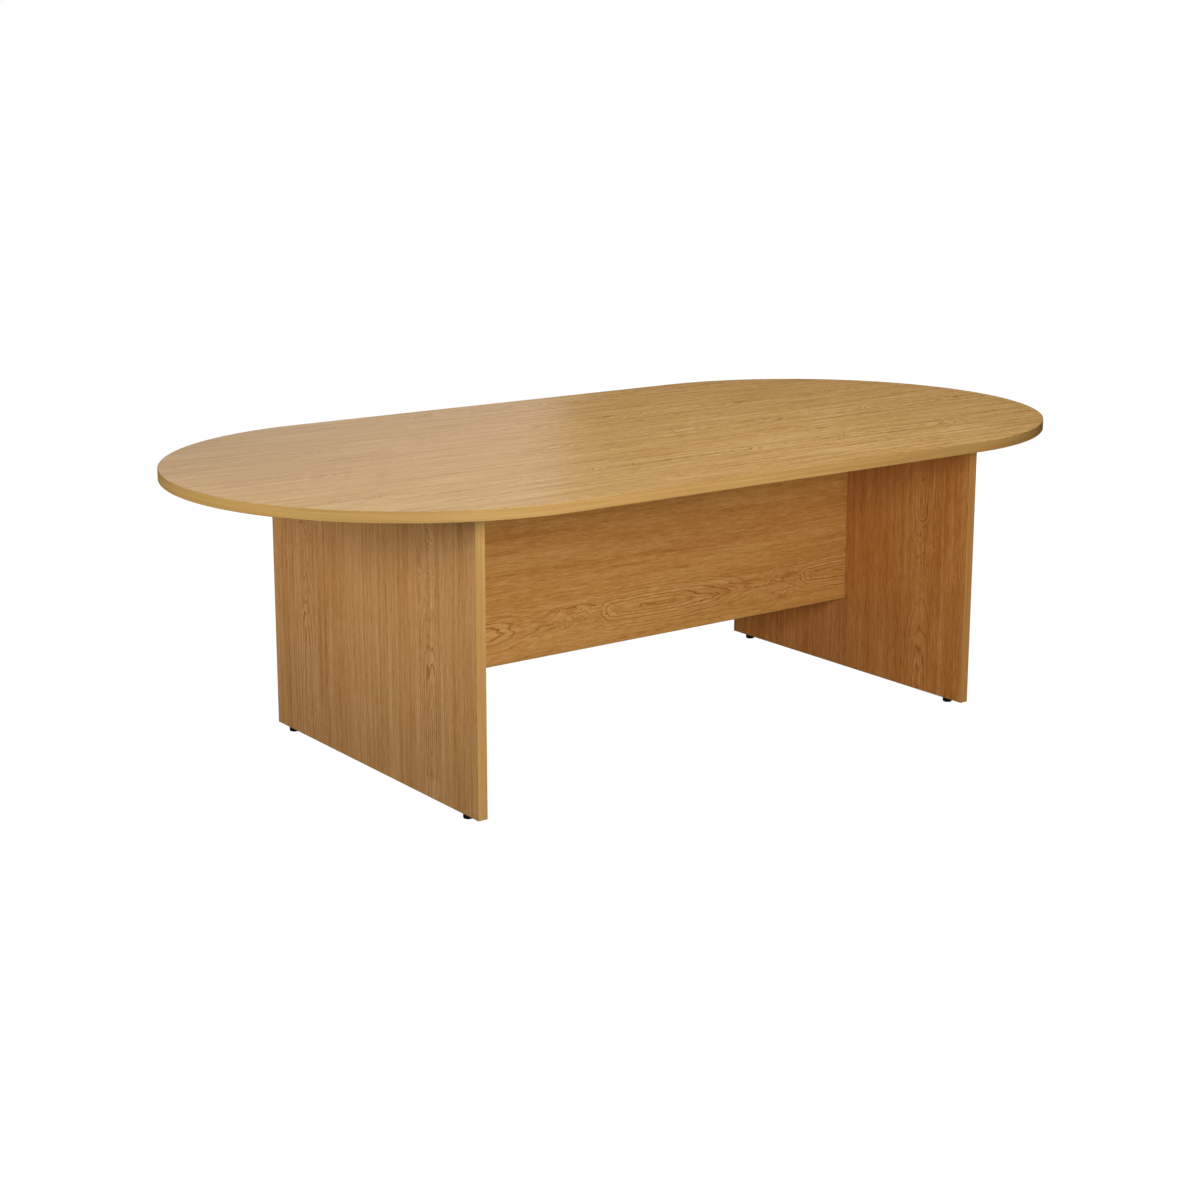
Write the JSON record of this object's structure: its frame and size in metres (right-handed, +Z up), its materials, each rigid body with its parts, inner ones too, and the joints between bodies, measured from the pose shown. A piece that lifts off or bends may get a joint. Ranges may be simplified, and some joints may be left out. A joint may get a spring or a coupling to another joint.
{
  "type": "conference table",
  "caption": "Meeting table with half-round ends: wood-effect top on two panel legs tied by a modesty panel, drawn together by turning cam locks, standing on screw-adjusted levelling feet.",
  "frame": {"origin": "on the floor, under the middle of the table top", "axes": "+X along the table's length, +Y to the back, +Z up"},
  "size_m": [2.4, 1.2, 0.727],
  "materials": {
    "oak_board": "oak wood-effect melamine on chipboard, satin, straight grain with flat-sawn figures",
    "oak_edging": "oak wood-effect ABS edging strip with rounded arrises, satin",
    "cam_zinc": "die-cast zinc, tumbled",
    "fitting_steel": "bright zinc-plated steel",
    "beech_dowel": "plain beech, unfinished",
    "glide_plastic": "black moulded nylon, satin"
  },
  "bodies": {
    "table": {"table_top": "oak_board", "top_edging": "oak_edging", "left_leg": "oak_board", "left_leg_front_edging": "oak_edging", "left_leg_rear_edging": "oak_edging", "left_leg_bottom_edging": "oak_edging", "left_leg_cam_bolt_1": "fitting_steel", "left_leg_cam_bolt_2": "fitting_steel", "left_leg_cam_bolt_3": "fitting_steel", "left_leg_cam_bolt_4": "fitting_steel", "left_leg_dowel_1": "beech_dowel", "left_leg_dowel_2": "beech_dowel", "right_leg": "oak_board", "right_leg_front_edging": "oak_edging", "right_leg_rear_edging": "oak_edging", "right_leg_bottom_edging": "oak_edging", "right_leg_cam_bolt_1": "fitting_steel", "right_leg_cam_bolt_2": "fitting_steel", "right_leg_cam_bolt_3": "fitting_steel", "right_leg_cam_bolt_4": "fitting_steel", "right_leg_dowel_1": "beech_dowel", "right_leg_dowel_2": "beech_dowel", "front_left_insert": "fitting_steel", "rear_left_insert": "fitting_steel", "front_right_insert": "fitting_steel", "rear_right_insert": "fitting_steel", "modesty_panel": "oak_board", "modesty_bottom_edging": "oak_edging", "modesty_left_cam_bolt_1": "fitting_steel", "modesty_left_cam_bolt_2": "fitting_steel", "modesty_left_dowel": "beech_dowel", "modesty_right_cam_bolt_1": "fitting_steel", "modesty_right_cam_bolt_2": "fitting_steel", "modesty_right_dowel": "beech_dowel"},
    "front_left_stem": {"front_left_stem": "fitting_steel"},
    "front_left_glide": {"front_left_glide": "glide_plastic"},
    "rear_left_stem": {"rear_left_stem": "fitting_steel"},
    "rear_left_glide": {"rear_left_glide": "glide_plastic"},
    "front_right_stem": {"front_right_stem": "fitting_steel"},
    "front_right_glide": {"front_right_glide": "glide_plastic"},
    "rear_right_stem": {"rear_right_stem": "fitting_steel"},
    "rear_right_glide": {"rear_right_glide": "glide_plastic"},
    "left_leg_cam_1": {"left_leg_cam_1": "cam_zinc"},
    "left_leg_cam_2": {"left_leg_cam_2": "cam_zinc"},
    "left_leg_cam_3": {"left_leg_cam_3": "cam_zinc"},
    "left_leg_cam_4": {"left_leg_cam_4": "cam_zinc"},
    "right_leg_cam_1": {"right_leg_cam_1": "cam_zinc"},
    "right_leg_cam_2": {"right_leg_cam_2": "cam_zinc"},
    "right_leg_cam_3": {"right_leg_cam_3": "cam_zinc"},
    "right_leg_cam_4": {"right_leg_cam_4": "cam_zinc"},
    "modesty_left_cam_1": {"modesty_left_cam_1": "cam_zinc"},
    "modesty_left_cam_2": {"modesty_left_cam_2": "cam_zinc"},
    "modesty_right_cam_1": {"modesty_right_cam_1": "cam_zinc"},
    "modesty_right_cam_2": {"modesty_right_cam_2": "cam_zinc"}
  },
  "joints": [
    {"name": "front_left_foot_lift", "type": "slide", "parent": "table", "child": "front_left_stem", "axis": [0, 0, -1], "range_m": [0, 0.01]},
    {"name": "front_left_foot_turn", "type": "hinge", "parent": "front_left_stem", "child": "front_left_glide", "pos_m": [-0.7435, -0.392, 0], "axis": [0, 0, -1], "range_deg": [0, 2880]},
    {"name": "rear_left_foot_lift", "type": "slide", "parent": "table", "child": "rear_left_stem", "axis": [0, 0, -1], "range_m": [0, 0.01]},
    {"name": "rear_left_foot_turn", "type": "hinge", "parent": "rear_left_stem", "child": "rear_left_glide", "pos_m": [-0.7435, 0.392, 0], "axis": [0, 0, -1], "range_deg": [0, 2880]},
    {"name": "front_right_foot_lift", "type": "slide", "parent": "table", "child": "front_right_stem", "axis": [0, 0, -1], "range_m": [0, 0.01]},
    {"name": "front_right_foot_turn", "type": "hinge", "parent": "front_right_stem", "child": "front_right_glide", "pos_m": [0.7435, -0.392, 0], "axis": [0, 0, -1], "range_deg": [0, 2880]},
    {"name": "rear_right_foot_lift", "type": "slide", "parent": "table", "child": "rear_right_stem", "axis": [0, 0, -1], "range_m": [0, 0.01]},
    {"name": "rear_right_foot_turn", "type": "hinge", "parent": "rear_right_stem", "child": "rear_right_glide", "pos_m": [0.7435, 0.392, 0], "axis": [0, 0, -1], "range_deg": [0, 2880]},
    {"name": "left_leg_cam_1_turn", "type": "hinge", "parent": "table", "child": "left_leg_cam_1", "pos_m": [-0.7435, -0.33, 0.668], "axis": [1, 0, 0], "range_deg": [0, 190]},
    {"name": "left_leg_cam_2_turn", "type": "hinge", "parent": "table", "child": "left_leg_cam_2", "pos_m": [-0.7435, -0.11, 0.668], "axis": [1, 0, 0], "range_deg": [0, 190]},
    {"name": "left_leg_cam_3_turn", "type": "hinge", "parent": "table", "child": "left_leg_cam_3", "pos_m": [-0.7435, 0.11, 0.668], "axis": [1, 0, 0], "range_deg": [0, 190]},
    {"name": "left_leg_cam_4_turn", "type": "hinge", "parent": "table", "child": "left_leg_cam_4", "pos_m": [-0.7435, 0.33, 0.668], "axis": [1, 0, 0], "range_deg": [0, 190]},
    {"name": "right_leg_cam_1_turn", "type": "hinge", "parent": "table", "child": "right_leg_cam_1", "pos_m": [0.7435, -0.33, 0.668], "axis": [-1, 0, 0], "range_deg": [0, 190]},
    {"name": "right_leg_cam_2_turn", "type": "hinge", "parent": "table", "child": "right_leg_cam_2", "pos_m": [0.7435, -0.11, 0.668], "axis": [-1, 0, 0], "range_deg": [0, 190]},
    {"name": "right_leg_cam_3_turn", "type": "hinge", "parent": "table", "child": "right_leg_cam_3", "pos_m": [0.7435, 0.11, 0.668], "axis": [-1, 0, 0], "range_deg": [0, 190]},
    {"name": "right_leg_cam_4_turn", "type": "hinge", "parent": "table", "child": "right_leg_cam_4", "pos_m": [0.7435, 0.33, 0.668], "axis": [-1, 0, 0], "range_deg": [0, 190]},
    {"name": "modesty_left_cam_1_turn", "type": "hinge", "parent": "table", "child": "modesty_left_cam_1", "pos_m": [-0.697, 0, 0.612], "axis": [0, 1, 0], "range_deg": [0, 190]},
    {"name": "modesty_left_cam_2_turn", "type": "hinge", "parent": "table", "child": "modesty_left_cam_2", "pos_m": [-0.697, 0, 0.292], "axis": [0, 1, 0], "range_deg": [0, 190]},
    {"name": "modesty_right_cam_1_turn", "type": "hinge", "parent": "table", "child": "modesty_right_cam_1", "pos_m": [0.697, 0, 0.612], "axis": [0, 1, 0], "range_deg": [0, 190]},
    {"name": "modesty_right_cam_2_turn", "type": "hinge", "parent": "table", "child": "modesty_right_cam_2", "pos_m": [0.697, 0, 0.292], "axis": [0, 1, 0], "range_deg": [0, 190]}
  ],
  "couplings": [
    {"joint": "front_left_foot_turn", "follows": "front_left_foot_lift", "rad_per_m": 5026.5},
    {"joint": "rear_left_foot_turn", "follows": "rear_left_foot_lift", "rad_per_m": 5026.5},
    {"joint": "front_right_foot_turn", "follows": "front_right_foot_lift", "rad_per_m": 5026.5},
    {"joint": "rear_right_foot_turn", "follows": "rear_right_foot_lift", "rad_per_m": 5026.5}
  ]
}
